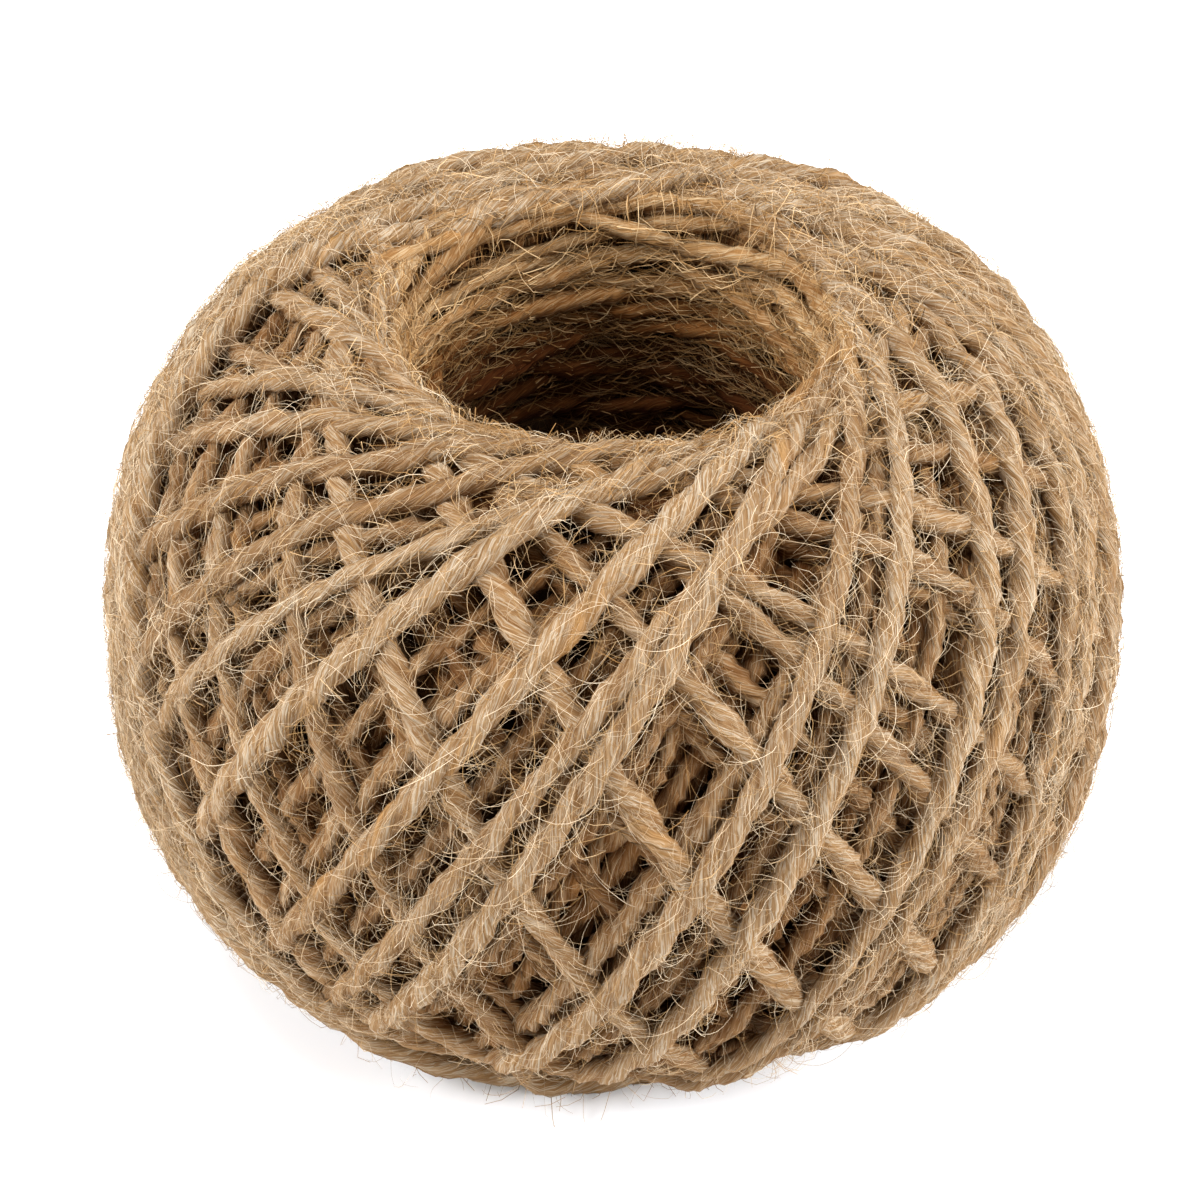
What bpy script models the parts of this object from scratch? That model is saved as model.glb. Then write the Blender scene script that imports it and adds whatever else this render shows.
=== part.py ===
"""Ball of two-ply jute twine, cross-wound round an open core.

The ball is one solid: its wound form, with the turns of the top layer raised as
ridges that sweep down from one rim to the other, and the turns that cross beneath
them raised lower in the gaps. It stands on a small flat ring.
Metres, +Z up, origin at the middle of the flat ring it rests on.
"""

import bpy
import numpy as np
from math import cos, pi, radians, sin, tan

# Wound form
BALL_RADIUS = 0.039
BALL_HEIGHT = 0.0557
RIM_RADIUS = 0.0183
CORE_RADIUS = 0.015
SIDE_FULLNESS = 2.2
CORE_FULLNESS = 5.0
FLAT_DEPTH = 0.0004
FLAT_BLEND = 0.0012

# Winding
TWINE_DIAMETER = 0.002
TURNS = 29
LOOP_TILT = radians(55.9)
STEEPEST_SWEEP = radians(60)
TANGENT_LIMIT = 0.99
TURN_SPACING_SPREAD = 0.6
FRONT_TURNS = (-164, -154, -140, -121, -110, -104, -84, -72.5, -56, -51, -34, -29, -15, -4)
FRONT_UNDER_TURNS = (-145, -134, -118, -103, -82.5, -64, -49, -39, -25, -12)
TURN_HEIGHT_SPREAD = 0.0003
CREST_SHARE = 0.6
SLOPE_WIDTH = 0.0011
LARGEST_FOOT = 0.4
GAP_DEPTH = 0.0034
UNDER_TURN_RISE = 0.0023
UNDER_TURN_REACH = 0.0023
CORE_RELIEF = 0.25
RELIEF_RISE = 0.3
WINDING_SEED = 7

# Mesh
COLUMNS_PER_TURN = 4
ROWS = 51
FINE_STEPS = 1440
ROUNDING_SHARE = 0.25
CORE_ROW_SHARE = 0.6

JUTE_COLOUR = (0.40, 0.27, 0.155, 1.0)
JUTE_ROUGHNESS = 0.9


def clear_scene():
    for old in list(bpy.data.objects):
        bpy.data.objects.remove(old, do_unlink=True)


def section_point(angle):
    """Point (radius, height) of the ball's section; 0 is the waist, pi the core's wall."""
    half_height = BALL_HEIGHT / 2
    across = abs(cos(angle))
    up = abs(sin(angle))
    fullness = SIDE_FULLNESS if cos(angle) > 0 else CORE_FULLNESS
    reach = BALL_RADIUS if cos(angle) > 0 else CORE_RADIUS
    radius = RIM_RADIUS + (reach - RIM_RADIUS) * across ** (2 / fullness)
    height = half_height * up ** (2 / fullness)
    return radius, height if sin(angle) > 0 else -height


def section_rows():
    """Radius, height and outward direction of each row of points round the section.

    Rows are spaced by length and by how sharply the section turns, so the rims,
    which are tight, get more of them, and the plain wall of the core gets fewer.
    """
    angles = np.linspace(0, 2 * pi, FINE_STEPS, endpoint=False)
    fine = np.array([section_point(angle) for angle in angles])
    along = np.roll(fine, -1, axis=0) - fine
    length = np.hypot(along[:, 0], along[:, 1])
    heading = np.unwrap(np.arctan2(along[:, 1], along[:, 0]))
    turn = np.abs(np.diff(heading, append=heading[0] + 2 * pi))
    length = np.where(fine[:, 0] < RIM_RADIUS, CORE_ROW_SHARE, 1) * length
    weight = length / length.sum() + ROUNDING_SHARE * turn / turn.sum()
    place = np.concatenate([[0], np.cumsum(weight)])
    wanted = np.arange(ROWS) / ROWS * place[-1]
    closed = np.vstack([fine, fine[:1]])
    radius = np.interp(wanted, place, closed[:, 0])
    height = np.interp(wanted, place, closed[:, 1])
    spread = np.roll(radius, -1) - np.roll(radius, 1)
    rise = np.roll(height, -1) - np.roll(height, 1)
    size = np.hypot(spread, rise)
    return radius, height, rise / size, -spread / size


def winding_sweep(radius, height):
    """How far round the ball a turn has swept at each row.

    On the outside a turn lies in a plane tilted by LOOP_TILT, so it sweeps faster
    towards the rims, up to STEEPEST_SWEEP from the upright. The rest of the full
    turn is spread evenly over the core's wall.
    """
    rise = np.roll(height, -1) - height
    spread = np.roll(radius, -1) - radius
    step = np.hypot(rise, spread)
    middle_radius = (radius + np.roll(radius, -1)) / 2
    middle_height = (height + np.roll(height, -1)) / 2
    level = middle_height / (middle_radius * tan(LOOP_TILT))
    level = np.clip(level, -TANGENT_LIMIT, TANGENT_LIMIT)
    change = (rise * middle_radius - spread * middle_height) / (
        middle_radius**2 * tan(LOOP_TILT)
    )
    planar = change / np.sqrt(1 - level**2)
    limit = step * tan(STEEPEST_SWEEP) / middle_radius
    outside = middle_radius > RIM_RADIUS
    swept = np.where(outside, np.clip(planar, 0, limit), 0)
    inside_step = np.where(outside, 0, step)
    swept += (2 * pi - swept.sum()) * inside_step / inside_step.sum()
    return np.concatenate([[0], np.cumsum(swept)[:-1]])


def turn_places(front_turns, rng):
    """Angles at which the turns cross the waist.

    The front turns come from the table, in degrees, as they lie on the ball, and
    the others are spaced unevenly over the rest of the way round.
    """
    front = np.radians(front_turns)
    gaps = 1 + TURN_SPACING_SPREAD * rng.uniform(-1, 1, TURNS - len(front) + 1)
    rest = 2 * pi - (front[-1] - front[0])
    others = front[-1] + np.cumsum(gaps)[:-1] / gaps.sum() * rest
    return np.concatenate([front, others])


def column_table(rng):
    """Angle, crest depth and gap share of each column of points.

    A turn has two columns on its crest and two at the foot of the gap after it.
    A narrow gap is shallower, because its sides meet before its floor.
    """
    centre = turn_places(FRONT_TURNS, rng)
    crest = TURN_HEIGHT_SPREAD * rng.uniform(0, 1, TURNS)
    gap = np.diff(centre, append=centre[0] + 2 * pi)
    twine_reach = TWINE_DIAMETER / 2 / sin(LOOP_TILT) / BALL_RADIUS
    half_crest = np.full(TURNS, CREST_SHARE * twine_reach)
    slope = SLOPE_WIDTH / sin(LOOP_TILT) / BALL_RADIUS
    foot = np.minimum(half_crest + slope, gap * LARGEST_FOOT)
    floor_share = (foot - half_crest) / slope
    angle = np.column_stack(
        [centre - half_crest, centre + half_crest, centre + foot, centre + gap - foot]
    )
    gap_share = np.column_stack([0 * gap, 0 * gap, floor_share, floor_share])
    return angle.ravel(), np.repeat(crest, COLUMNS_PER_TURN), gap_share.ravel()


def under_turn_rise(around, sweep, radius, places):
    """How far a turn of the layer beneath stands up in the gap, at a point of a row."""
    phase = (around + sweep - places + pi) % (2 * pi) - pi
    aside = np.abs(phase).min() * radius * sin(LOOP_TILT)
    return UNDER_TURN_RISE * max(0, cos(pi / 2 * min(1, aside / UNDER_TURN_REACH)))


def relief_at(radius, height):
    """Share of the relief at a row: full outside, faint in the core, none on the flat."""
    outside = (radius - RIM_RADIUS) / (BALL_RADIUS - RIM_RADIUS) / RELIEF_RISE
    share = CORE_RELIEF + (1 - CORE_RELIEF) * np.clip(outside, 0, 1)
    lift = height + BALL_HEIGHT / 2 - FLAT_DEPTH
    return share * np.clip(lift / FLAT_BLEND, 0, 1)


def wind_ball():
    """A torus whose points are moved onto the wound form, column by column."""
    bpy.ops.mesh.primitive_torus_add(
        major_segments=TURNS * COLUMNS_PER_TURN,
        minor_segments=ROWS,
        major_radius=(BALL_RADIUS + CORE_RADIUS) / 2,
        minor_radius=(BALL_RADIUS - CORE_RADIUS) / 2,
    )
    ball = bpy.context.object
    ball.name = "wound_ball"
    ball.data.name = "wound_ball"

    radius, height, normal_out, normal_up = section_rows()
    sweep = winding_sweep(radius, height)
    relief = relief_at(radius, height)
    rng = np.random.default_rng(WINDING_SEED)
    angle, crest_depth, gap_share = column_table(rng)
    under_places = turn_places(FRONT_UNDER_TURNS, rng)
    floor = FLAT_DEPTH - BALL_HEIGHT / 2

    for vertex in ball.data.vertices:
        column, row = divmod(vertex.index, ROWS)
        around = angle[column] + sweep[row]
        under = under_turn_rise(around, sweep[row], radius[row], under_places)
        gap_depth = gap_share[column] * (GAP_DEPTH - under)
        sunk = (crest_depth[column] + gap_depth) * relief[row]
        reach = radius[row] - normal_out[row] * sunk
        level = max(height[row] - normal_up[row] * sunk, floor)
        vertex.co = (reach * cos(around), reach * sin(around), level - floor)
    return ball


def centre_on_origin(ball):
    """Moves the points so that the ball's width and depth are centred on the origin."""
    points = np.array([vertex.co for vertex in ball.data.vertices])
    middle = (points.max(axis=0) + points.min(axis=0)) / 2
    for vertex in ball.data.vertices:
        vertex.co.x -= middle[0]
        vertex.co.y -= middle[1]


def add_material(ball):
    jute = bpy.data.materials.new("jute_twine")
    jute.use_nodes = True
    shader = jute.node_tree.nodes["Principled BSDF"]
    shader.inputs["Base Color"].default_value = JUTE_COLOUR
    shader.inputs["Roughness"].default_value = JUTE_ROUGHNESS
    shader.inputs["Metallic"].default_value = 0.0
    ball.data.materials.append(jute)


def main():
    clear_scene()
    ball = wind_ball()
    centre_on_origin(ball)
    ball.data.shade_smooth()
    add_material(ball)
    parts = bpy.data.collections.new("ball_of_twine")
    bpy.context.scene.collection.children.link(parts)
    for collection in list(ball.users_collection):
        collection.objects.unlink(ball)
    parts.objects.link(ball)


main()
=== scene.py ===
from math import cos, pi, radians, sin

import bmesh
import bpy
import numpy as np
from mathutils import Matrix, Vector


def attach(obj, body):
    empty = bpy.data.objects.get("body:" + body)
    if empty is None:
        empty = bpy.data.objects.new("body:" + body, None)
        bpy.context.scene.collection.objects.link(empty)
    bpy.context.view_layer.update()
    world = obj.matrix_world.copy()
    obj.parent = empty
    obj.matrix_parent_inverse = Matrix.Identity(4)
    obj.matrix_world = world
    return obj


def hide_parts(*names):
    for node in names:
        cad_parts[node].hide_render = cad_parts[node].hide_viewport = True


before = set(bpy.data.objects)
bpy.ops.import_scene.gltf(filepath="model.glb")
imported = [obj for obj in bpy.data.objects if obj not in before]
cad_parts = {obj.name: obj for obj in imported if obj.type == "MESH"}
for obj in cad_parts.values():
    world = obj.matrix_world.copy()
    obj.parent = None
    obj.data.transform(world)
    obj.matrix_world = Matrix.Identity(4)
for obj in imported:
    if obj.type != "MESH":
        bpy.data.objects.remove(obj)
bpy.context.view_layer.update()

mm = 0.001
scene = bpy.context.scene
print("frame loaded")

# the wound form, the same as the solid's: a full side, an upright core wall, a flat ring below
form = {
    "radius": 39 * mm,
    "height": 55.7 * mm,
    "rim": 18.3 * mm,
    "core": 15 * mm,
    "sideFullness": 2.2,
    "coreFullness": 5.0,
    "flatDepth": 0.4 * mm,
    "reach": radians(112),  # how far over the rims the table of the section goes
    "tableSteps": 2401,
}
centreHeight = form["height"] / 2 - form["flatDepth"]


def makeSection():
    # a table along the section: radius, height, length so far, way out and angle from the middle
    angle = np.linspace(-form["reach"], form["reach"], form["tableSteps"])
    across = np.abs(np.cos(angle))
    up = np.abs(np.sin(angle))
    outside = np.cos(angle) > 0
    fullness = np.where(outside, form["sideFullness"], form["coreFullness"])
    reach = np.where(outside, form["radius"], form["core"])
    r = form["rim"] + (reach - form["rim"]) * across ** (2 / fullness)
    z = np.sign(np.sin(angle)) * form["height"] / 2 * up ** (2 / fullness)
    dr, dz = np.gradient(r), np.gradient(z)
    size = np.hypot(dr, dz)
    s = np.concatenate([[0], np.cumsum(np.hypot(np.diff(r), np.diff(z)))])
    return {"r": r, "z": z, "s": s, "outR": dz / size, "outZ": -dr / size,
            "ray": np.maximum.accumulate(np.arctan2(z, r))}


section = makeSection()


def alongSection(s, column):
    return np.interp(s, section["s"], section[column])


def outwardAt(s, theta):
    # the way out of the form at a place along the section and round the ball
    outR, outZ = alongSection(s, "outR"), alongSection(s, "outZ")
    return np.column_stack([outR * np.cos(theta), outR * np.sin(theta), outZ])


def blur(values, sigma, axis, wrap):
    # a Gaussian blur along one axis; sigma is in steps
    if not wrap:
        pad = min(int(4 * sigma) + 1, values.shape[axis] - 1)
        widths = [(pad, pad) if i == axis else (0, 0) for i in range(values.ndim)]
        values = np.pad(values, widths, mode="reflect")
    count = values.shape[axis]
    frequency = np.fft.rfftfreq(count)
    keep = np.exp(-2 * (pi * frequency * sigma) ** 2)
    shape = [1] * values.ndim
    shape[axis] = -1
    smooth = np.fft.irfft(np.fft.rfft(values, axis=axis) * keep.reshape(shape), count, axis=axis)
    if not wrap:
        smooth = np.take(smooth, range(pad, count - pad), axis=axis)
    return smooth


def blurGrid(grid, sigmaS, sigmaTheta):
    # along the section, which ends, and round the ball, which doesn't
    return blur(blur(grid, sigmaS, 0, False), sigmaTheta, 1, True)


def slideMax(values, reach, axis=0, wrap=False):
    # highest value within reach steps to either side
    best = values.copy()
    for step in range(1, reach + 1):
        for way in (-step, step):
            moved = np.roll(values, way, axis=axis)
            if not wrap:
                edge = [slice(None)] * values.ndim
                edge[axis] = slice(0, way) if way > 0 else slice(way, None)
                moved[tuple(edge)] = -1e9
            best = np.maximum(best, moved)
    return best


def slideMaxGrid(grid, reachS, reachTheta):
    return slideMax(slideMax(grid, reachS, 0), reachTheta, 1, True)


def smoothStep(x):
    x = np.clip(x, 0, 1)
    return x * x * (3 - 2 * x)


def unitRows(vectors):
    return vectors / np.linalg.norm(vectors, axis=1)[:, None]


def addObject(name, data):
    made = bpy.data.objects.new(name, data)
    scene.collection.objects.link(made)
    return made


def pieceFromCurve(name, data, *helpers):
    # the curve's evaluated shape as a mesh; the curve and its helpers go
    holder = addObject(name, data)
    graph = bpy.context.evaluated_depsgraph_get()
    mesh = bpy.data.meshes.new_from_object(holder.evaluated_get(graph), depsgraph=graph)
    for part in (*helpers, holder):
        bpy.data.objects.remove(part, do_unlink=True)
    mesh.name = name
    return addObject(name, mesh)


def addAttribute(mesh, name, values):
    layer = mesh.attributes.new(name, "FLOAT_VECTOR", "POINT")
    layer.data.foreach_set("vector", np.ascontiguousarray(values, dtype=np.float32).ravel())


# the winding: one length of twine laid turn after turn, each turn in a tilted plane
winding = {
    "twineRadius": 1.0 * mm,
    "rounds": 7.33,
    # where the last turns lie round the ball, in degrees, oldest first
    "lastTurns": (-235, -224, -208, -193, -172.5, -154, -139, -129.4, -115, -102, -88, -74, -64.4,
                  -50, -31.2, -20, -14.4, 6, 17.5, 34, 39, 56, 61, 75, 86, 95, 102.5, 109, 117),
    "flatFeet": {"turns": 4, "tilt": 51},  # the last few turns lie flatter at their foot
    "stained": {"turn": -31.2, "between": (-134, -91)},  # an orange brown stretch
    "thick": {"turn": -50, "between": (-143, -98)},  # a thicker stretch
    "stretchEase": radians(6),  # how softly both start and end
    "meanGap": 12.6,
    "gapSpread": 0.62,
    "firstLead": 0.1,  # how far before the first turn the twine starts, in radians
    "secondHalfLag": 0.22,  # share of the gap that is crossed at the upper rim
    "moveOn": radians(40),  # half the stretch over which a turn moves on to its next place
    "tilts": (54.2, 60.2),
    "tiltChoices": 12,
    "tiltChance": 0.5,  # how much chance plays in a turn's choice of tilt, in mm
    "nearRim": radians(32),  # the part of a turn that feels for the lowest rim
    "pressing": {"reach": 0.85, "samples": 7},  # across the turn, as a share of its radius
    "covering": {"reach": 1.0, "samples": 9},
    # how a turn lies on those beneath: it spans gaps shorter than twice its reach
    "buried": {"reach": 2.6 * mm, "tautness": 1.6 * mm, "squash": 1.3 * mm},
    "last": {"reach": 3.8 * mm, "tautness": 1.9 * mm, "squash": 1.12 * mm},
    "wander": {"by": 0.35 * mm, "blur": 30},
    "samples": 760,
    "cell": 0.5 * mm,
    "columns": 480,
    "trend": {"percentile": 80, "blur": 3},  # the general height of the layers at each level
    "envelope": {"reach": (4, 5), "blur": (10, 18)},  # in cells, up and round
    "crests": {"turns": 26, "levels": 30, "percentile": 12, "blur": 0.7},
    "proudShare": 0.2,  # what is left of a crest that stands out of the wound form
    "lowest": 1.04,  # height of the lowest turns' middles, as a share of their radius
    "depthBlur": 3,
    "deepest": 5.6 * mm,  # turns deeper than this aren't modelled
    "shortestRun": 5,  # nor are stretches with no more points than this
    "outerTurns": 29,
    "seed": 11,
}


def turnAngles(rng):
    last = list(winding["lastTurns"])
    count = int(winding["rounds"] * 360 / winding["meanGap"]) - len(last)
    gaps = winding["meanGap"] * (1 + winding["gapSpread"] * rng.uniform(-1, 1, count))
    before = last[0] - np.cumsum(gaps)
    return np.radians(np.concatenate([before[::-1], last]))


def acrossTurn(band):
    return np.linspace(-band["reach"], band["reach"], band["samples"]) * winding["twineRadius"]


def layWinding():
    rng = np.random.default_rng(winding["seed"])
    first = turnAngles(rng)
    count = len(first)
    following = np.append(first[1:], first[-1] + radians(winding["meanGap"]))
    second = first + winding["secondHalfLag"] * (following - first)
    leading = np.insert(second[:-1], 0, first[0] - winding["firstLead"])

    cell = winding["cell"]
    rowCount = int(section["s"][-1] / cell) + 1
    columns = winding["columns"]
    heights = np.zeros((rowCount, columns))
    rowPlace = (np.arange(rowCount) + 0.5) * cell
    trend = np.zeros(rowCount)
    radius = winding["twineRadius"]
    samples = winding["samples"]
    delta = np.linspace(-pi, pi, samples, endpoint=False)
    window = winding["moveOn"]
    overTop = smoothStep((delta + window) / (2 * window))
    overFoot = smoothStep((delta - pi + window) / (2 * window))
    fromFoot = 1 - smoothStep((delta + pi + window) / (2 * window))
    upper = (1 + np.cos(delta)) / 2
    pressing = acrossTurn(winding["pressing"])
    covering = acrossTurn(winding["covering"])
    tilts = np.linspace(*winding["tilts"], winding["tiltChoices"])

    def cells(s, theta, r, sideS, sideW, offsets):
        row = ((s[:, None] + sideS[:, None] * offsets) / cell).astype(int)
        column = (theta[:, None] + sideW[:, None] * offsets / r[:, None]) / (2 * pi) * columns
        return np.clip(row, 0, rowCount - 1), np.floor(column).astype(int) % columns

    def place(phi, tilt):
        s = np.interp(np.arctan(tilt * np.cos(delta)), section["ray"], section["s"])
        return s, phi + delta

    def easiestTilt(phi, near):
        # the turn slips to where the rim is lowest
        best, choice = None, None
        for tilt in tilts:
            s, theta = place(phi, np.tan(radians(tilt)))
            row = np.clip((s[near] / cell).astype(int), 0, rowCount - 1)
            column = np.floor(theta[near] / (2 * pi) * columns).astype(int) % columns
            cost = heights[row, column].mean() + rng.uniform(0, winding["tiltChance"]) * mm
            if best is None or cost < best:
                best, choice = cost, tilt
        return np.tan(radians(choice))

    nearTop = np.abs(delta) < winding["nearRim"]
    nearFoot = np.abs(delta) > pi - winding["nearRim"]
    footTilt = np.tan(radians(tilts.mean()))
    turns = []
    for k in range(count):
        phi = (first[k] + (second[k] - first[k]) * overTop + (following[k] - second[k]) * overFoot
               - (first[k] - leading[k]) * fromFoot)
        topTilt = easiestTilt(phi, nearTop)
        nextFoot = easiestTilt(phi, nearFoot)
        if k >= count - winding["flatFeet"]["turns"]:
            nextFoot = np.tan(radians(winding["flatFeet"]["tilt"]))
        foot = np.where(delta < 0, footTilt, nextFoot)
        s, theta = place(phi, foot + (topTilt - foot) * upper)
        footTilt = nextFoot
        r = alongSection(s, "r")
        noise = blur(rng.normal(0, 1, samples), winding["wander"]["blur"], 0, True)
        theta = theta + winding["wander"]["by"] * noise / noise.std() / r
        ds, dw = np.gradient(s), r * np.gradient(theta)
        size = np.hypot(ds, dw)
        step = size.mean()
        sideS, sideW = dw / size, -ds / size
        # the turn rests on what is highest beneath it, and spans what lies between
        row, column = cells(s, theta, r, sideS, sideW, pressing)
        rise = np.sqrt(radius**2 - pressing**2)
        local = np.interp(s, rowPlace, trend)
        lies = winding["last" if k >= count - len(winding["lastTurns"]) else "buried"]
        support = (heights[row, column] + rise).max(axis=1) - lies["squash"] - local
        reach = int(lies["reach"] / step)
        lifted = -slideMax(-slideMax(support, reach, 0, True), reach, 0, True)
        height = blur(lifted, lies["tautness"] / step, 0, True) + local
        row, column = cells(s, theta, r, sideS, sideW, covering)
        top = height[:, None] + np.sqrt(np.maximum(radius**2 - covering**2, 0))
        np.maximum.at(heights, (row, column), top)
        np.maximum.at(heights, (row, (column + 1) % columns), top)
        trend = blur(np.percentile(heights, winding["trend"]["percentile"], axis=1),
                     winding["trend"]["blur"], 0, False)
        turns.append((theta, s, height, np.full(samples, float(k))))
    envelope = slideMaxGrid(heights, *winding["envelope"]["reach"])
    envelope = blurGrid(envelope, *winding["envelope"]["blur"])
    theta, s, height, turn = (np.concatenate(column) for column in zip(*turns))
    return {"theta": theta, "s": s, "height": height, "turn": turn, "count": count,
            "heights": heights, "envelope": envelope, "rowPlace": rowPlace}


def readGrid(grid, s, theta):
    # bilinear reading of a grid over the section and round the ball
    rowCount, columns = grid.shape
    row = np.clip(s / winding["cell"] - 0.5, 0, rowCount - 1.001)
    column = (theta / (2 * pi) * columns - 0.5) % columns
    i, j = row.astype(int), column.astype(int) % columns
    a, b = row - i, column - np.floor(column)
    k = (j + 1) % columns
    return ((grid[i, j] * (1 - b) + grid[i, k] * b) * (1 - a)
            + (grid[i + 1, j] * (1 - b) + grid[i + 1, k] * b) * a)


def stretchOf(wound, name):
    # 1 along the named stretch of one of the last turns, 0 elsewhere
    named = winding[name]
    last = winding["lastTurns"]
    turn = wound["count"] - len(last) + last.index(named["turn"])
    low, high = (radians(edge) for edge in named["between"])
    ease = winding["stretchEase"]
    inside = smoothStep((wound["theta"] - low) / ease) * smoothStep((high - wound["theta"]) / ease)
    return np.where(wound["turn"] == turn, inside, 0.0)


def crestsOf(wound, depth):
    # how far the crests of the last round lie off the wound form, from rim to rim
    crests = winding["crests"]
    lastRound = wound["turn"] > wound["count"] - crests["turns"]
    s, depth = wound["s"][lastRound], depth[lastRound]
    steps = np.linspace(s.min(), s.max(), crests["levels"])
    off = [np.percentile(depth[(s >= low) & (s <= high)], crests["percentile"])
           for low, high in zip(steps[:-1], steps[1:])]
    return (steps[:-1] + steps[1:]) / 2, blur(np.array(off), crests["blur"], 0, False)


def windBall():
    wound = layWinding()
    theta, s = wound["theta"], wound["s"]
    radius = winding["twineRadius"]
    depth = readGrid(wound["envelope"], s, theta) - wound["height"] - radius
    depth = blur(depth, winding["depthBlur"], 0, False)
    level, crests = crestsOf(wound, depth)
    depth = depth - np.interp(s, level, crests)
    depth = np.where(depth < 0, winding["proudShare"] * depth, depth)
    wound["crest"] = np.interp(wound["rowPlace"], level, crests)
    sunk = depth + radius
    r = alongSection(s, "r") - alongSection(s, "outR") * sunk
    z = alongSection(s, "z") - alongSection(s, "outZ") * sunk + centreHeight
    z = np.maximum(z, winding["lowest"] * radius)
    points = np.column_stack([r * np.cos(theta), r * np.sin(theta), z])
    along = np.concatenate([[0], np.cumsum(np.linalg.norm(np.diff(points, axis=0), axis=1))])
    wound.update(points=points, along=along, depth=depth, stained=stretchOf(wound, "stained"),
                 thick=stretchOf(wound, "thick"))
    print("winding laid:", wound["count"], "turns,", round(along[-1], 1), "m")
    return wound


def cutRuns(wound, lowTurn, highTurn, step):
    # the stretches of twine that lie near enough to the surface to show
    chosen = (wound["turn"] >= lowTurn) & (wound["turn"] < highTurn)
    start, end = wound["along"][chosen][[0, -1]]
    place = np.arange(start, end, step)
    table = {"x": wound["points"][:, 0], "y": wound["points"][:, 1], "z": wound["points"][:, 2],
             **{key: wound[key] for key in ("depth", "theta", "s", "stained", "thick")}}
    read = {key: np.interp(place, wound["along"], values) for key, values in table.items()}
    shown = slideMax((read["depth"] < winding["deepest"]).astype(float), 2) > 0
    edges = np.flatnonzero(np.diff(np.concatenate([[0], shown.astype(int), [0]])))
    runs = []
    for low, high in edges.reshape(-1, 2):
        if high - low > winding["shortestRun"]:
            run = {key: values[low:high] for key, values in read.items()}
            run["along"] = place[low:high]
            run["points"] = np.column_stack([run["x"], run["y"], run["z"]])
            run["out"] = outwardAt(run["s"], run["theta"])
            runs.append(run)
    return runs


# the twine itself: two plies laid round each other
twine = {
    "plyRadius": 0.82 * mm,
    "plyOffset": 0.29 * mm,
    "lay": 10.7 * mm,  # length of one full twist
    "layWay": -1,
    "layUneven": 0.8,
    "thickness": 0.09,
    "thickStretch": 0.12,
    "lumps": 9 * mm,
    "blurs": (1.2, 3.0, 6.0),  # of thickness, shade and warmth along the twine, in lumps
    "mostUneven": 2,
    "roughEdge": 0.085,  # how uneven the plies' surface is, as a share of the radius
    "roughBlur": (0.7, 0.6),  # along the twine and round it
    # painted shade: the depth at which a turn's darkening is full
    "shadeDepth": 7 * mm,
    "stain": 9,
    # distance between points, points round the twine, seed
    "outer": {"step": 0.95 * mm, "sides": 12, "seed": 21},
    "inner": {"step": 1.75 * mm, "sides": 8, "seed": 22},
}


def twineProfile(sides):
    # the outline of the two plies, run backwards so that faces point outwards
    angle = -2 * pi * np.arange(sides) / sides
    offset, ply = twine["plyOffset"], twine["plyRadius"]
    reach = offset * np.abs(np.cos(angle)) + np.sqrt(ply**2 - (offset * np.sin(angle)) ** 2)
    return np.column_stack([reach * np.cos(angle), reach * np.sin(angle)])


def spunCurve(name, runs, outline):
    # one curve of many splines, swept with the outline, made a mesh
    profileData = bpy.data.curves.new(name + "Outline", "CURVE")
    profileData.dimensions = "2D"
    ring = profileData.splines.new("POLY")
    ring.points.add(len(outline) - 1)
    flat = np.column_stack([outline, np.zeros(len(outline)), np.ones(len(outline))])
    ring.points.foreach_set("co", flat.ravel())
    ring.use_cyclic_u = True
    profile = addObject(name + "Outline", profileData)
    data = bpy.data.curves.new(name, "CURVE")
    data.dimensions = "3D"
    data.bevel_mode = "OBJECT"
    data.bevel_object = profile
    data.use_fill_caps = False
    for run in runs:
        spline = data.splines.new("POLY")
        count = len(run["points"])
        spline.points.add(count - 1)
        spline.points.foreach_set("co", np.column_stack([run["points"], np.ones(count)]).ravel())
        spline.points.foreach_set("tilt", run["tilt"])
        spline.points.foreach_set("radius", run["radius"])
    return pieceFromCurve(name, data, profile)


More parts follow.
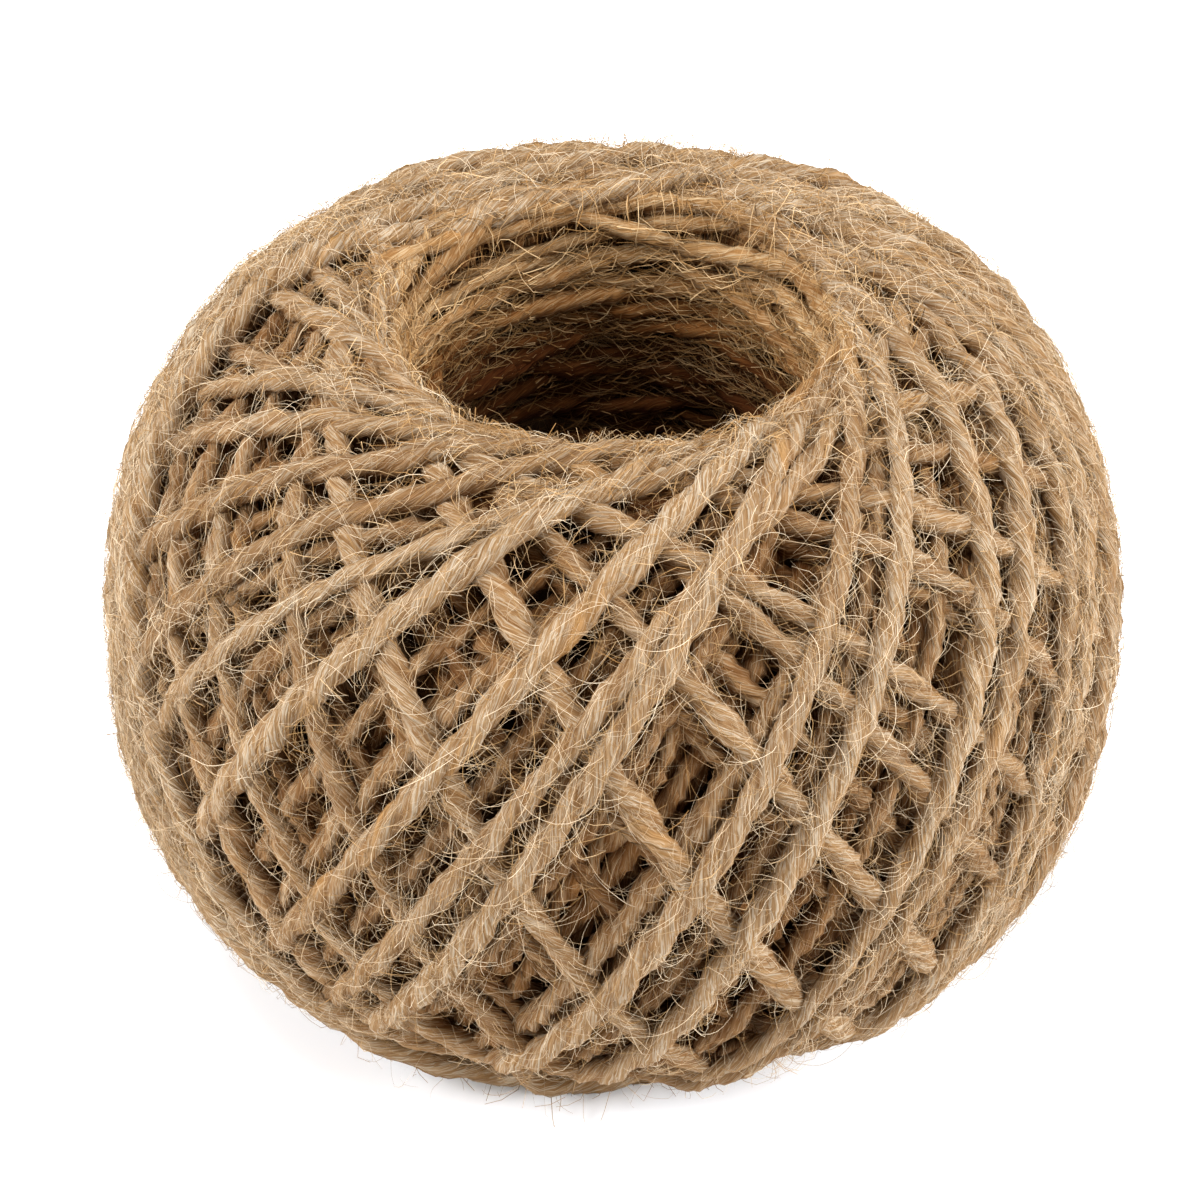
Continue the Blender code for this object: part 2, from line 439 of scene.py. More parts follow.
def spinTwine(name, runs, sides, seed, size=1.0, lay=twine["lay"], rough=twine["roughEdge"]):
    rng = np.random.default_rng(seed)
    outline = twineProfile(sides)
    total = max(run["along"][-1] for run in runs) + 1
    knots = int(total / twine["lumps"]) + 4
    lumps, shade, warmth = (blur(rng.normal(0, 1, knots), sigma, 0, True)
                            for sigma in twine["blurs"])
    knotPlace = np.arange(knots) * twine["lumps"]

    def noise(values, along):
        return np.interp(along, knotPlace, values / values.std())

    for run in runs:
        along = run["along"]
        uneven = np.clip(noise(lumps, along), -twine["mostUneven"], twine["mostUneven"])
        uneven = 1 + twine["thickness"] * uneven
        run["radius"] = size * uneven * (1 + twine["thickStretch"] * run["thick"])
        twist = twine["layWay"] * 2 * pi * along / lay
        run["tilt"] = twist + twine["layUneven"] * noise(shade, along)
    piece = spunCurve(name, runs, outline)
    mesh = piece.data
    along, depth, stained, outward = (np.concatenate([run[key] for run in runs])
                                      for key in ("along", "depth", "stained", "out"))
    count = len(along) * sides
    if count != len(mesh.vertices):
        raise ValueError(f"{name}: {count} points expected, {len(mesh.vertices)} made")
    # loose, uneven fibres make the surface of the plies a little rough
    place = np.empty(count * 3)
    mesh.vertices.foreach_get("co", place)
    place = place.reshape(len(along), sides, 3)
    middle = place.mean(axis=1, keepdims=True)
    edge = blur(rng.normal(0, 1, (len(along), sides)), twine["roughBlur"][0], 0, True)
    edge = blur(edge, twine["roughBlur"][1], 1, True)
    place = middle + (place - middle) * (1 + rough * edge / edge.std())[:, :, None]
    place[:, :, 2] = np.maximum(place[:, :, 2], 0)
    mesh.vertices.foreach_set("co", place.ravel())
    mesh.update()
    flat = np.tile(outline / mm, (len(along), 1))
    addAttribute(mesh, "twinePlace", np.column_stack([flat, np.repeat(along / mm, sides)]))
    # each point's depth: that of its turn, and how far it lies behind the turn's crest; the material
    # paints shade from it
    lift = ((place - middle) * outward[:, None, :]).sum(axis=2)
    pointDepth = (depth[:, None] + size * winding["twineRadius"] - lift) / twine["shadeDepth"]
    warm = noise(warmth, along) + twine["stain"] * stained
    tone = np.column_stack([np.repeat(noise(shade, along), sides), np.repeat(warm, sides),
                            pointDepth.ravel()])
    addAttribute(mesh, "twineToneAndShade", tone)
    mesh.shade_smooth()
    print(name, len(mesh.polygons) * 2, "triangles")
    return piece


def spinLayers(name, look, lowTurn, highTurn):
    runs = cutRuns(wound, lowTurn, highTurn, look["step"])
    return spinTwine(name, runs, look["sides"], look["seed"])


wound = windBall()
outerFrom = wound["count"] - winding["outerTurns"]
outerTwine = spinLayers("outerTurns", twine["outer"], outerFrom, wound["count"])
innerTwine = spinLayers("innerTurns", twine["inner"], 0, outerFrom)

# the wall of the core: turns that only touch it at their highest or lowest point
coreWall = {
    "nearest": (15.1 * mm, 16.0 * mm),
    "halfSpan": (radians(18), radians(40)),
    "lead": 1.6 * mm,  # how far a turn draws back into the wall towards its ends
    "leadPowers": (2, 8),
    "slip": 1.2 * mm,  # how far its ends slip towards the middle of the core
    "slipPower": 6,
    "size": 0.76,
    "lay": 15 * mm,
    "rough": 0.2,
    "spacing": 1.12 * mm,
    "top": 26.2 * mm,
    "fullBelow": 1 * mm,  # the pile of turns is full when it is this near the middle
    "pastMiddle": 2 * mm,
    "lip": 1.2 * mm,  # how far the wall leans back at its upper and lower ends
    "lipPower": 8,
    "lowest": 1.2 * mm,
    # painted shade: the core's twine and fibres are darkened the further down the hole they lie; shade
    # gives its turns a made-up depth for this
    "shadeFrom": 23 * mm,  # height from the middle, below which the core darkens
    "shade": {"start": -0.4 * mm, "depth": 26 * mm, "power": 1.35},
    "slope": 0.12,
    "chance": 0.8,  # how much chance plays in where the next turn goes, in mm
    "raised": {"share": 0.62, "percentile": 70},  # how much of the pile a turn lies on
    "step": 1.0 * mm,
    "between": 5 * mm,
    "sides": 6,
    "columns": 360,
    "seed": 31,
    "twineSeed": 23,
}


def coreRuns():
    rng = np.random.default_rng(coreWall["seed"])
    columns = coreWall["columns"]
    place = np.arange(columns) * 2 * pi / columns
    runs, along = [], 0.0
    for way in (1, -1):
        level = np.full(columns, 0.0)
        while level.min() < coreWall["top"] - coreWall["fullBelow"]:
            # the next turn goes where the pile, which grows from the rim inwards, is lowest
            lowest = int(np.argmin(level + rng.uniform(0, coreWall["chance"], columns) * mm))
            half = rng.uniform(*coreWall["halfSpan"])
            away = np.abs((place - place[lowest] + pi) % (2 * pi) - pi)
            near = away < half * coreWall["raised"]["share"]
            base = np.percentile(level[near], coreWall["raised"]["percentile"])
            level[near] = base + coreWall["spacing"]
            nearest = rng.uniform(*coreWall["nearest"])
            slope = rng.normal(0, coreWall["slope"])
            turn = np.arange(-half, half, coreWall["step"] / nearest)
            share = turn / half
            below = base + slope * turn * nearest + coreWall["slip"] * share ** coreWall["slipPower"]
            height = np.maximum(coreWall["top"] - below, -coreWall["pastMiddle"])
            lean = coreWall["lip"] * (np.maximum(height, 0) / coreWall["top"]) ** coreWall["lipPower"]
            radius = nearest + lean
            for power in coreWall["leadPowers"]:
                radius = radius + coreWall["lead"] * share**power
            height = np.maximum(height * way + centreHeight, coreWall["lowest"])
            theta = place[lowest] + turn
            # how far down the hole the turn lies, which sets its painted shade through a made-up depth
            inside = np.clip(1 - np.abs(height - centreHeight) / coreWall["shadeFrom"], 0, 1)
            shade = coreWall["shade"]
            run = {"points": np.column_stack([radius * np.cos(theta), radius * np.sin(theta), height]),
                   "along": along + np.arange(len(turn)) * coreWall["step"],
                   "out": np.column_stack([-np.cos(theta), -np.sin(theta), 0 * theta]),
                   "depth": shade["start"] + shade["depth"] * inside ** shade["power"],
                   "stained": 0 * turn, "thick": 0 * turn}
            along = run["along"][-1] + coreWall["between"]
            runs.append(run)
    return runs


coreWallRuns = coreRuns()
coreTwine = spinTwine("coreTurns", coreWallRuns, coreWall["sides"], coreWall["twineSeed"],
                      coreWall["size"], coreWall["lay"], coreWall["rough"])

# loose fibres: short ones along the twine, curled ones round it, a few long ones that stand off
fibres = {
    "shortFibres": {"count": 16500, "segments": 5, "length": (1.4, 4.2), "curl": (0.1, 1.0),
                    "lean": (4, 32), "hover": 0.05, "settle": 0.85, "fall": 0.5,
                    "width": 0.045, "seed": 41, "where": "everywhere"},
    "curledFibres": {"count": 9800, "segments": 6, "length": (2.2, 5.8), "curl": (0.15, 0.8),
                     "lean": (10, 50), "hover": 0.1, "settle": 0.85, "fall": 0.45,
                     "width": 0.043, "seed": 42, "where": "everywhere"},
    "fineFibres": {"count": 7800, "segments": 6, "length": (2.2, 6.5), "curl": (0.1, 0.65),
                   "lean": (8, 45), "hover": 0.15, "settle": 0.8, "fall": 0.4,
                   "width": 0.036, "seed": 44, "where": "everywhere"},
    "longFibres": {"count": 1000, "segments": 12, "length": (4.0, 11.0), "curl": (0.05, 0.4),
                   "lean": (20, 70), "hover": 0.8, "settle": 0.45, "fall": 0.15,
                   "width": 0.048, "seed": 43, "where": "everywhere"},
    "coreFibres": {"count": 17000, "segments": 5, "length": (2.5, 7.0), "curl": (0.06, 0.5),
                   "lean": (1, 26), "hover": 0.1, "settle": 1.0, "fall": 0.7,
                   "width": 0.08, "seed": 45, "where": "core"},
}

# what all the fibres share
fluff = {
    "rootTurns": 58,
    "rootStep": 0.5 * mm,
    "rootReach": (0.8, 1.0),  # how far out of the twine's middle, as a share of its radius
    "rootDepth": 4 * mm,  # fewer fibres grow on turns deeper than this
    "crowdFrom": 15 * mm,  # where turns crowd together near the core, each has fewer
    "crowdEase": 20 * mm,
    "crowdLeast": 0.3,
    "pressedBelow": 6 * mm,  # next to none grow below this height, where the ball is pressed
    "pressedEase": 15 * mm,
    "pressedLeast": 0.02,
    "wallWeight": 0.2,  # of the core's wall among the roots of fibres that grow everywhere
    "bareRim": 2.5 * mm,  # fibres of the core's wall start this far below the rim
    "bareEase": 7 * mm,
    "bareLeast": 0.03,
    "wallFade": {"start": 1.3, "over": 30 * mm, "least": 0.4},  # fewer grow deeper down
    "lowerWall": 0.35,
    "spread": 1.75,  # how far round the twine from its outward side, in radians
    "headingJitter": 0.25,
    "axisJitter": 0.6,
    "sharpestBend": 0.9,
    "rimMargin": 3 * mm,
    "insideRim": 2 * mm,  # a fibre this far inside the rim lies in the core
    "rayMargin": 0.005,
    "coreFall": 0.9,
    "liftOut": 0.7,  # how much of what is sunk in the turns is lifted out at each step
    "tip": 0.45,
    "lowest": 0.15 * mm,
    # painted shade: how deep fibres must lie to be darkened in full, and how fast it grows down the
    # core
    "shadeDepth": 4.6 * mm,  # fibres this far down lie in full shade
    "coreShade": 1.85,
}


def fibreRoots(wound):
    # places on the twine near the surface, with the twine's way there and the way out
    outer = cutRuns(wound, wound["count"] - fluff["rootTurns"], wound["count"], fluff["rootStep"])
    weights, onWall = [], []
    for run in outer:
        crowd = (alongSection(run["s"], "r") - fluff["crowdFrom"]) / fluff["crowdEase"]
        crowd = np.clip(crowd, fluff["crowdLeast"], 1)
        pressed = (run["z"] - fluff["pressedBelow"]) / fluff["pressedEase"]
        pressed = np.clip(pressed, fluff["pressedLeast"], 1)
        weights.append(np.exp(-np.maximum(run["depth"], 0) / fluff["rootDepth"]) * crowd * pressed)
        onWall.append(np.zeros(len(run["z"])))
    for run in coreWallRuns:
        weights.append(np.full(len(run["points"]), fluff["wallWeight"]))
        level = run["points"][:, 2] - centreHeight
        belowRim = form["height"] / 2 - np.abs(level)
        fade = fluff["wallFade"]
        hairy = np.clip(fade["start"] - belowRim / fade["over"], fade["least"], 1)
        hairy = hairy * np.where(level > 0, 1, fluff["lowerWall"])
        bare = (belowRim - fluff["bareRim"]) / fluff["bareEase"]
        onWall.append(np.clip(bare, fluff["bareLeast"], 1) * hairy)
    runs = outer + coreWallRuns
    weights, onWall = np.concatenate(weights), np.concatenate(onWall)
    return {"points": np.concatenate([run["points"] for run in runs]),
            "tangents": np.concatenate([unitRows(np.gradient(run["points"], axis=0)) for run in runs]),
            "outs": np.concatenate([run["out"] for run in runs]),
            "everywhere": weights / weights.sum(), "core": onWall / onWall.sum()}


def fibreGround(wound):
    # height of the turns over the wound form, a little smoothed
    relief = blurGrid(slideMaxGrid(wound["heights"], 1, 1), 1, 1)
    return relief - wound["envelope"] + wound["crest"][:, None]


def growPaths(piece, rng, roots, ground):
    # every fibre's points, and at each how much painted shade it takes and whether it lies in the core
    count, segments = piece["count"], piece["segments"]
    chosen = rng.choice(len(roots["points"]), count, p=roots[piece["where"]])
    tangent, out = roots["tangents"][chosen], roots["outs"][chosen]
    side = np.cross(tangent, out)
    around = rng.uniform(-fluff["spread"], fluff["spread"], count)[:, None]
    radial = out * np.cos(around) + side * np.sin(around)
    reach = winding["twineRadius"] * rng.uniform(*fluff["rootReach"], (count, 1))
    place = roots["points"][chosen] + radial * reach
    lean = np.radians(rng.uniform(*piece["lean"], count))[:, None]
    way = np.where(rng.random(count) < 0.5, 1, -1)[:, None]
    heading = tangent * way * np.cos(lean) + radial * np.sin(lean)
    heading = unitRows(heading + rng.normal(0, fluff["headingJitter"], (count, 3)))
    step = rng.uniform(*piece["length"], (count, 1)) * mm / segments
    axis = unitRows(rng.normal(0, 1, (count, 3)))
    curl = rng.uniform(*piece["curl"], (count, 1)) / mm
    hover = piece["hover"] * mm
    rimLevel = form["height"] / 2 - fluff["rimMargin"]
    path, shades, within = [place], [], []
    for segment in range(segments):
        heading = heading + np.cross(axis, heading) * np.minimum(curl * step, fluff["sharpestBend"])
        axis = unitRows(axis + rng.normal(0, fluff["axisJitter"], (count, 3)))
        r = np.hypot(place[:, 0], place[:, 1])
        theta = np.arctan2(place[:, 1], place[:, 0])
        level = place[:, 2] - centreHeight
        ray = np.arctan2(level, r)
        s = np.interp(ray, section["ray"], section["s"])
        lift = ((r - alongSection(s, "r")) * alongSection(s, "outR")
                + (level - alongSection(s, "z")) * alongSection(s, "outZ"))
        beyond = np.abs(ray) > section["ray"][-1] - fluff["rayMargin"]
        inCore = beyond | (r < form["rim"] - fluff["insideRim"])
        inward = np.column_stack([-np.cos(theta), -np.sin(theta), 0 * theta])
        outward = np.where(inCore[:, None], inward, outwardAt(s, theta))
        above = np.where(inCore, form["core"] - r, lift - readGrid(ground, s, theta) - hover)
        # a fibre of the core's wall does not stand up past the rim
        past = inCore & (np.abs(level) > rimLevel)
        outward[past] = np.column_stack([0 * r, 0 * r, np.sign(level)])[past]
        above = np.where(past, np.abs(level) - rimLevel, above)
        # fibres that rise off the surface are turned back to it
        rising = (heading * outward).sum(axis=1)
        ease = np.where(above > 0, np.where(inCore, 1, piece["settle"]), 0)
        fall = np.clip(above / mm, 0, 1) * np.where(inCore, fluff["coreFall"], piece["fall"])
        heading = unitRows(heading - outward * (np.maximum(rising, 0) * ease + fall)[:, None])
        place = place + heading * step
        sunk = np.where(inCore, 0, np.minimum(above + hover, 0))
        # painted shade: how far down the turns or the core a fibre lies sets how much it is darkened
        inside = 1 - np.abs(level) / coreWall["shadeFrom"]
        shade = np.where(inCore, fluff["coreShade"] * inside, -lift / fluff["shadeDepth"])
        shades.append(np.clip(shade, 0, 1))
        within.append(inCore)
        place = place - outward * (sunk * fluff["liftOut"])[:, None]
        place[:, 2] = np.maximum(place[:, 2], fluff["lowest"])
        path.append(place)
    return np.stack(path, axis=1), shades, within


def growFibres(name, roots, ground):
    piece = fibres[name]
    rng = np.random.default_rng(piece["seed"])
    count, points = piece["count"], piece["segments"] + 1
    path, shades, within = growPaths(piece, rng, roots, ground)
    data = bpy.data.curves.new(name, "CURVE")
    data.dimensions = "3D"
    data.extrude = piece["width"] * mm / 2
    taper = np.linspace(1, fluff["tip"], points)
    spins = rng.uniform(-pi, pi, count)
    coords = np.concatenate([path, np.ones((count, points, 1))], axis=2)
    for fibre, spin in zip(coords, spins):
        spline = data.splines.new("POLY")
        spline.points.add(points - 1)
        spline.points.foreach_set("co", fibre.ravel())
        spline.points.foreach_set("radius", taper)
        spline.points.foreach_set("tilt", np.full(points, spin))
    made = pieceFromCurve(name, data)
    # along each fibre: its own tone, its painted shade, and whether it lies in the core
    tone = np.stack([np.repeat(rng.random((count, 1)), points, axis=1),
                     np.stack(shades[:1] + shades, axis=1),
                     np.stack(within[:1] + within, axis=1) | (piece["where"] == "core")], axis=2)
    addAttribute(made.data, "fibreToneAndShade", np.repeat(tone.reshape(-1, 3), 2, axis=0))
    made.data.shade_smooth()
    print(name, count, "fibres,", len(made.data.polygons) * 2, "triangles")
    return made


roots = fibreRoots(wound)
ground = fibreGround(wound)
looseFibres = [growFibres(name, roots, ground) for name in fibres]

# what lies behind the lowest turns that are modelled, standing for the twine of the inner layers: a
# spun sheet coloured near-black as painted shade
packing = {
    "inset": 6.4 * mm,
    "coreRadius": 18.6 * mm,
    "facesOut": 0.05,  # only the part of the section that faces out at least this much is used
    "sections": 96,
    "steps": 30,
}


def spinPacking():
    build = bmesh.new()
    outside = np.flatnonzero(section["outR"] > packing["facesOut"])
    chosen = outside[np.linspace(0, len(outside) - 1, packing["steps"]).astype(int)]
    ring = []
    for i in chosen:
        r = section["r"][i] - section["outR"][i] * packing["inset"]
        z = section["z"][i] - section["outZ"][i] * packing["inset"]
        ring.append(build.verts.new((max(r, packing["coreRadius"]), 0, z + centreHeight)))
    edges = [build.edges.new((ring[i], ring[(i + 1) % len(ring)])) for i in range(len(ring))]
    bmesh.ops.spin(build, geom=ring + edges, cent=(0, 0, 0), axis=(0, 0, 1), angle=2 * pi,
                   steps=packing["sections"], use_merge=True)
    bmesh.ops.recalc_face_normals(build, faces=build.faces)
    mesh = bpy.data.meshes.new("packedLayers")
    build.to_mesh(mesh)
    build.free()
    mesh.shade_smooth()
    return addObject("packedLayers", mesh)


packedLayers = spinPacking()
print("packed layers spun")


class Value:
    # a shader socket that can be written in sums
    def __init__(self, maker, socket):
        self.maker, self.socket = maker, socket

    def sum(self, operation, *others, clamp=False):
        return self.maker.add("ShaderNodeMath", {"operation": operation, "use_clamp": clamp},
                              dict(enumerate(others)))

    def __add__(self, other):
        return self.sum("ADD", self, other)

    def __radd__(self, other):
        return self.sum("ADD", other, self)

    def __sub__(self, other):
        return self.sum("SUBTRACT", self, other)

    def __rsub__(self, other):
        return self.sum("SUBTRACT", other, self)

    def __mul__(self, other):
        return self.sum("MULTIPLY", self, other)

    def __rmul__(self, other):
        return self.sum("MULTIPLY", other, self)

    def __pow__(self, other):
        return self.sum("POWER", self, other)

    def __rpow__(self, other):
        return self.sum("POWER", other, self)

    def clamp(self):
        return self.sum("ADD", self, 0.0, clamp=True)

    def above(self, level, gain):
        # 0 up to the level, then rising to 1
        return ((self - level) * gain).clamp()


class Maker:
    # builds a material's nodes
    def __init__(self, name):
        self.material = bpy.data.materials.new(name)
        self.material.use_nodes = True
        self.tree = self.material.node_tree
        self.shader = self.tree.nodes["Principled BSDF"]

    def join(self, socket, value):
        if isinstance(value, Value):
            self.tree.links.new(value.socket, socket)
        else:
            socket.default_value = value

    def add(self, kind, settings, inputs, output=0):
        node = self.tree.nodes.new(kind)
        for key, setting in settings.items():
            setattr(node, key, setting)
        for key, value in inputs.items():
            self.join(node.inputs[key], value)
        return Value(self, node.outputs[output])

    def mix(self, share, first, second, blend="MIX"):
        return self.add("ShaderNodeMix", {"data_type": "RGBA", "blend_type": blend},
                        {0: share, 6: first, 7: second}, 2)

    def noise(self, place, scale, detail, roughness=0.55):
        return self.add("ShaderNodeTexNoise", {"noise_dimensions": "3D"},
                        {"Vector": place, "Scale": scale, "Detail": detail, "Roughness": roughness})

    def grain(self, place, stretch, detail, roughness=0.55):
        # noise drawn out along the twine
        drawn = self.add("ShaderNodeMapping", {"vector_type": "POINT"},
                         {"Vector": place, "Scale": stretch})
        return self.noise(drawn, 1.0, detail, roughness)

    def attribute(self, name):
        return self.add("ShaderNodeAttribute", {"attribute_name": name}, {}, "Vector")

    def part(self, vector, axis):
        return self.add("ShaderNodeSeparateXYZ", {}, {0: vector}, axis)

    def set(self, **sockets):
        for key, value in sockets.items():
            self.join(self.shader.inputs[key.replace("_", " ")], value)


def colour(red, green, blue):
    return (red, green, blue, 1.0)


jute = {
    "pale": colour(0.312, 0.25, 0.176),
    "straw": colour(0.285, 0.186, 0.098),
    "brown": colour(0.125, 0.058, 0.016),
    "orange": colour(0.285, 0.145, 0.042),
    # painted light: the core's copy of the twine is tinted brighter and warmer
    "corePaintedLight": colour(1.22, 1.12, 0.93),
    # how fine the noise is, in cells a millimetre: across the twine both ways, then along it
    "wanderGrain": (0.9, 0.9, 0.55),
    "strandGrain": (4.0, 4.0, 0.30),
    "fibreGrain": (9.0, 9.0, 0.42),
    "patchGrain": (0.5, 0.5, 0.09),
    # each is a level and how fast the effect rises above it
    "streak": (0.36, 3.4),
    "thread": (0.36, 4.2),
    # painted shadow: the groove between the plies is darkened above this level
    "groove": (0.36, 1.9),
    # painted shade: turns that lie deeper than this are darkened
    "deep": (0.16, 1.25),
    # how far the painted shade darkens deep turns and the painted shadow darkens the groove
    "deepShade": 0.77,
    "grooveShade": 0.4,
    # how much of the base is straw: from the streaks, from the threads and everywhere
    "strawShares": (0.5, 0.38, 0.12),
    "paleThreads": (0.62, 2.6),
    "paleShares": (0.5, 0.06),  # how streaks and the twine's own shade add to the pale threads
    "stainPatches": (9, 6.0),
    "stainPly": (0.15, 0.05),  # how much of the twine's warmth one ply takes, and both
    "stainShares": (0.25, 0.55),  # of the orange everywhere, and in the threads
    # the painted shadow's green and blue: how fast they fall, and how far its warmth takes them down
    "shadowGreen": (1.28, 0.20),
    "shadowBlue": (1.56, 0.43),
    "warmerBy": 1.6,
    "bump": 0.22 * mm,
    "bumpShares": (0.6, 0.5),  # of the strands and the fibres
    "roughness": 0.88,
    "specular": 0.06,
}


def juteTwine(name, paintedLightTint):
    make = Maker(name)
    place = make.attribute("twinePlace")
    x, y = make.part(place, "X"), make.part(place, "Y")
    tone = make.attribute("twineToneAndShade")
    shade, warmth, depth = (make.part(tone, axis) for axis in "XYZ")
    wander = make.grain(place, jute["wanderGrain"], 1.0)
    aside = make.add("ShaderNodeCombineXYZ", {}, {0: wander * 0.5, 1: wander * -0.4})
    shifted = make.add("ShaderNodeVectorMath", {"operation": "ADD"}, {0: place, 1: aside})
    strand = make.grain(shifted, jute["strandGrain"], 2.0)
    fibre = make.grain(shifted, jute["fibreGrain"], 2.0, 0.6)
    patch = make.grain(place, jute["patchGrain"], 2.0)
    streak = strand.above(*jute["streak"])
    thread = fibre.above(*jute["thread"])
    fromStreaks, fromThreads, everywhere = jute["strawShares"]
    straw = streak * fromStreaks + thread * fromThreads + everywhere
    base = make.mix(straw, jute["brown"], jute["straw"])
    level, gain = jute["paleThreads"]
    byStreak, byShade = jute["paleShares"]
    pale = ((thread - level) * gain + (streak - 0.5) * byStreak + shade * byShade).clamp()
    base = make.mix(pale, base, jute["pale"])
    # one ply takes most of the stain
    ply = (x * 1.4 + 0.5).clamp()
    gain, level = jute["stainPatches"]
    onePly, bothPlies = jute["stainPly"]
    stain = (patch * gain - level + warmth * (ply * onePly + bothPlies)).clamp()
    everywhere, inThreads = jute["stainShares"]
    base = make.mix(stain * (everywhere + thread * inThreads), base, jute["orange"])
    # painted light: the copy in the core is tinted brighter and warmer; elsewhere the tint is white
    base = make.mix(1.0, base, paintedLightTint, "MULTIPLY")
    # painted shadow: the groove between the plies is darkened
    groove = (x * x + y * y).above(*jute["groove"])
    toneAndPaintedShade = ((0.96 + shade * 0.08) * (1 - jute["grooveShade"] + groove * jute["grooveShade"])).clamp()
    # painted shade: turns deep in the gaps are darkened, standing for the shade of the fluff above
    # them
    toneAndPaintedShade = toneAndPaintedShade * (1.0 - depth.above(*jute["deep"]) * jute["deepShade"])
    # painted shade turns warmer as it deepens
    warmer = (depth * jute["warmerBy"]).clamp()
    green, blue = (toneAndPaintedShade**power * (1.0 - warmer * share)
                   for power, share in (jute["shadowGreen"], jute["shadowBlue"]))
    shadow = make.add("ShaderNodeCombineColor", {}, {0: toneAndPaintedShade, 1: green, 2: blue})
    base = make.mix(1.0, base, shadow, "MULTIPLY")
    byStrand, byFibre = jute["bumpShares"]
    bump = make.add("ShaderNodeBump", {}, {"Strength": 1.0, "Distance": jute["bump"],
                                           "Height": strand * byStrand + fibre * byFibre})
    make.set(Base_Color=base, Roughness=jute["roughness"], Normal=bump,
             Specular_IOR_Level=jute["specular"])
    return make.material


fibreLook = {
    "dull": colour(0.26, 0.148, 0.054),
    "bright": colour(0.58, 0.472, 0.33),
    # painted warm shade: the colours of fibres in the core, darker and warmer
    "coreDullInWarmShade": colour(0.27, 0.142, 0.047),
    "coreBrightInWarmShade": colour(0.55, 0.385, 0.205),
    # painted shade: the colour that deep fibres are darkened towards, and how far
    "shaded": colour(0.085, 0.037, 0.010),
    "shade": 0.84,
    "roughness": 0.8,
    "specular": 0.05,
}


def looseFibre(name):
    make = Maker(name)
    carried = make.attribute("fibreToneAndShade")
    tone, shade, inCore = (make.part(carried, axis) for axis in "XYZ")
    base = make.mix(tone**1.3, fibreLook["dull"], fibreLook["bright"])
    # painted warm shade: fibres in the core take the darker, warmer colours
    core = make.mix(tone * tone, fibreLook["coreDullInWarmShade"], fibreLook["coreBrightInWarmShade"])
    base = make.mix(inCore, base, core)
    # painted shade: fibres that lie deep in the turns or down the core are darkened
    base = make.mix(shade * fibreLook["shade"], base, fibreLook["shaded"])
    make.set(Base_Color=base, Roughness=fibreLook["roughness"],
             Specular_IOR_Level=fibreLook["specular"])
    return make.material


packedShadeLook = {
    # painted shade: far darker than the twine, standing for the shade between the inner layers
    "dark": colour(0.028, 0.013, 0.0045),
    "light": colour(0.085, 0.042, 0.016),
    "blotches": 500.0,
    "roughness": 0.95,
    "specular": 0.1,
}


def packedTwineShade(name):
    # painted shade: a near-black sheet behind the modelled turns, in random blotches
    make = Maker(name)
    place = make.add("ShaderNodeTexCoord", {}, {}, "Object")
    blotch = make.noise(place, packedShadeLook["blotches"], 3.0)
    base = make.mix(blotch, packedShadeLook["dark"], packedShadeLook["light"])
    make.set(Base_Color=base, Roughness=packedShadeLook["roughness"],
             Specular_IOR_Level=packedShadeLook["specular"])
    return make.material


twineMaterial = juteTwine("juteTwine", colour(1, 1, 1))
fibreMaterial = looseFibre("juteFibre")
for piece in (outerTwine, innerTwine):
    piece.data.materials.append(twineMaterial)
coreTwine.data.materials.append(juteTwine("juteInCorePaintedLight", jute["corePaintedLight"]))
packedLayers.data.materials.append(packedTwineShade("packedJuteShade"))
for piece in looseFibres:
    piece.data.materials.append(fibreMaterial)

for piece in (outerTwine, innerTwine, coreTwine, packedLayers, *looseFibres):
    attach(piece, "root")
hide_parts("wound_ball")
print("materials made")

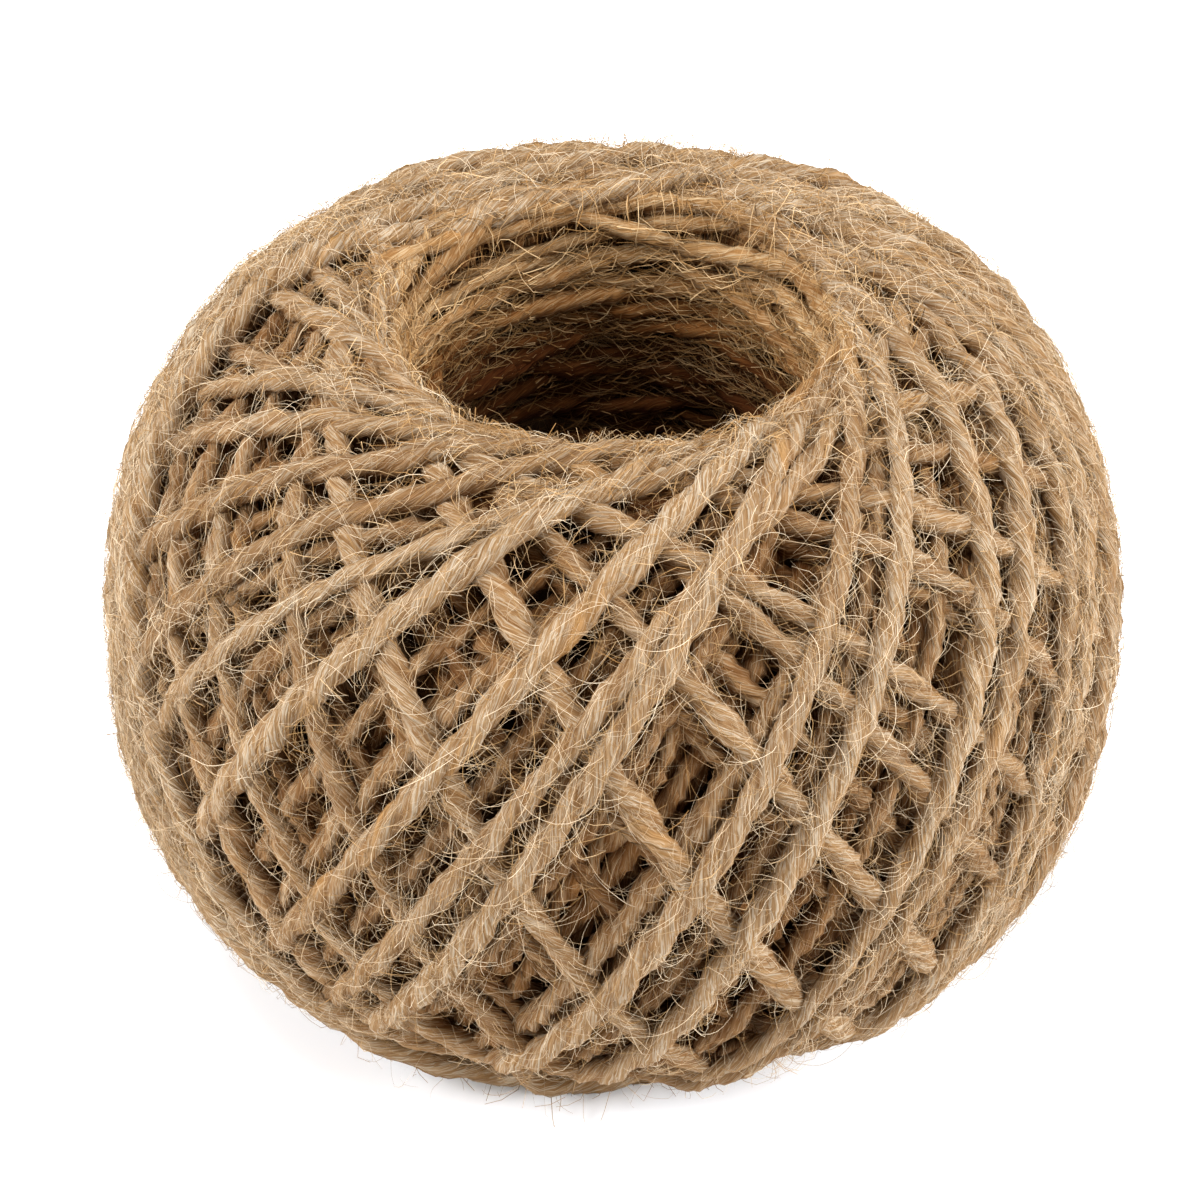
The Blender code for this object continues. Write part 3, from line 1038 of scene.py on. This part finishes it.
studio = {
    "elevation": radians(37.14),
    "distance": 460.6 * mm,
    "sensor": 36,
    "lens": 180.2,
    "shift": (-12.7 / 1200, 6.7 / 1200),
    "nearest": 0.01,
    "aim": (0, 0, centreHeight),
    "lampTint": (0.97, 1.0, 1.05),
    # size across, power, place
    "lamps": {
        "softTop": (0.55, 7.6, (-0.05, -0.03, 0.75)),
        "softLeft": (0.45, 9.7, (-0.65, -0.18, 0.36)),
        "softRight": (0.45, 11.9, (0.65, -0.18, 0.36)),
    },
    "fillTint": colour(1.0, 0.895, 0.77),
    "fill": 0.42,
    "floorSize": 4.0,
    "floorColour": colour(0.96, 0.96, 0.96),
}


def addLamp(name, size, power, location):
    data = bpy.data.lights.new(name, "AREA")
    data.shape = "DISK"
    data.size = size
    data.energy = power
    data.color = studio["lampTint"]
    lamp = addObject(name, data)
    lamp.location = location
    away = Vector(location) - Vector(studio["aim"])
    lamp.rotation_euler = away.to_track_quat("Z", "Y").to_euler()


cameraData = bpy.data.cameras.new("camera")
cameraData.sensor_width = studio["sensor"]
cameraData.lens = studio["lens"]
cameraData.shift_x, cameraData.shift_y = studio["shift"]
cameraData.clip_start = studio["nearest"]
camera = addObject("camera", cameraData)
camera.location = (0, -studio["distance"] * cos(studio["elevation"]),
                   centreHeight + studio["distance"] * sin(studio["elevation"]))
camera.rotation_euler = (pi / 2 - studio["elevation"], 0, 0)
scene.camera = camera

for name, lamp in studio["lamps"].items():
    addLamp(name, *lamp)

world = bpy.data.worlds.new("studioWorld")
scene.world = world
world.use_nodes = True
background = world.node_tree.nodes["Background"]
background.inputs["Color"].default_value = studio["fillTint"]
background.inputs["Strength"].default_value = studio["fill"]

floorBuild = bmesh.new()
bmesh.ops.create_grid(floorBuild, x_segments=1, y_segments=1, size=studio["floorSize"])
floorMesh = bpy.data.meshes.new("floor")
floorBuild.to_mesh(floorMesh)
floorBuild.free()
floor = addObject("floor", floorMesh)
floorMaker = Maker("floorPale")
floorMaker.set(Base_Color=studio["floorColour"], Roughness=0.9, Specular_IOR_Level=0.1)
floorMesh.materials.append(floorMaker.material)
scene.view_settings.view_transform = "Standard"
print("studio set")
